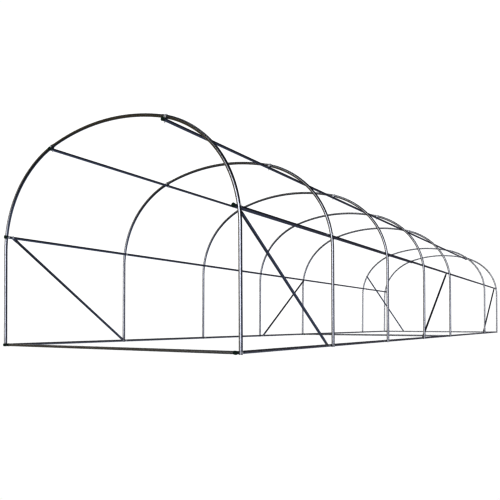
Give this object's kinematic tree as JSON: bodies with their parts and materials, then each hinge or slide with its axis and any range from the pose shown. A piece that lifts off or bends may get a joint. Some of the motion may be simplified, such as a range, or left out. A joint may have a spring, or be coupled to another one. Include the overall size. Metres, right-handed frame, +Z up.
{
  "type": "polytunnel greenhouse frame",
  "caption": "Bare steel tube frame of a polytunnel greenhouse: bent hoops on an even pitch, tied by ground rails, side rails, shoulder purlins, cross rails and braces.",
  "frame": {"origin": "on the ground in the middle of the footprint", "axes": "+X across the tunnel, to the right seen from the front; +Y along the tunnel from its front hoop to its rear hoop; +Z up"},
  "size_m": [3.03, 12.0746, 2.1089],
  "materials": {
    "galvanised_steel": "zinc-coated steel tube, satin, faintly mottled",
    "green_plastic": "dark green moulded plastic, slightly worn"
  },
  "bodies": {
    "root": {"hoop_1_side_left": "galvanised_steel", "hoop_1_side_right": "galvanised_steel", "hoop_1_crown": "galvanised_steel", "hoop_2_side_left": "galvanised_steel", "hoop_2_side_right": "galvanised_steel", "hoop_2_crown": "galvanised_steel", "hoop_3_side_left": "galvanised_steel", "hoop_3_side_right": "galvanised_steel", "hoop_3_crown": "galvanised_steel", "hoop_4_side_left": "galvanised_steel", "hoop_4_side_right": "galvanised_steel", "hoop_4_crown": "galvanised_steel", "hoop_5_side_left": "galvanised_steel", "hoop_5_side_right": "galvanised_steel", "hoop_5_crown": "galvanised_steel", "hoop_6_side_left": "galvanised_steel", "hoop_6_side_right": "galvanised_steel", "hoop_6_crown": "galvanised_steel", "hoop_7_side_left": "galvanised_steel", "hoop_7_side_right": "galvanised_steel", "hoop_7_crown": "galvanised_steel", "ground_rail_left": "galvanised_steel", "ground_rail_right": "galvanised_steel", "side_rail_left": "galvanised_steel", "side_rail_right": "galvanised_steel", "shoulder_purlin_left": "galvanised_steel", "shoulder_purlin_right": "galvanised_steel", "cross_rail_front": "galvanised_steel", "cross_rail_sockets_front": "green_plastic", "cross_rail_middle": "galvanised_steel", "cross_rail_sockets_middle": "green_plastic", "cross_rail_rear": "galvanised_steel", "cross_rail_sockets_rear": "green_plastic", "end_caps_front": "green_plastic", "end_caps_rear": "green_plastic", "brace_front_left": "galvanised_steel", "brace_front_right": "galvanised_steel", "brace_middle_left": "galvanised_steel", "brace_middle_right": "galvanised_steel", "brace_rear_left": "galvanised_steel", "brace_rear_right": "galvanised_steel"}
  },
  "joints": []
}
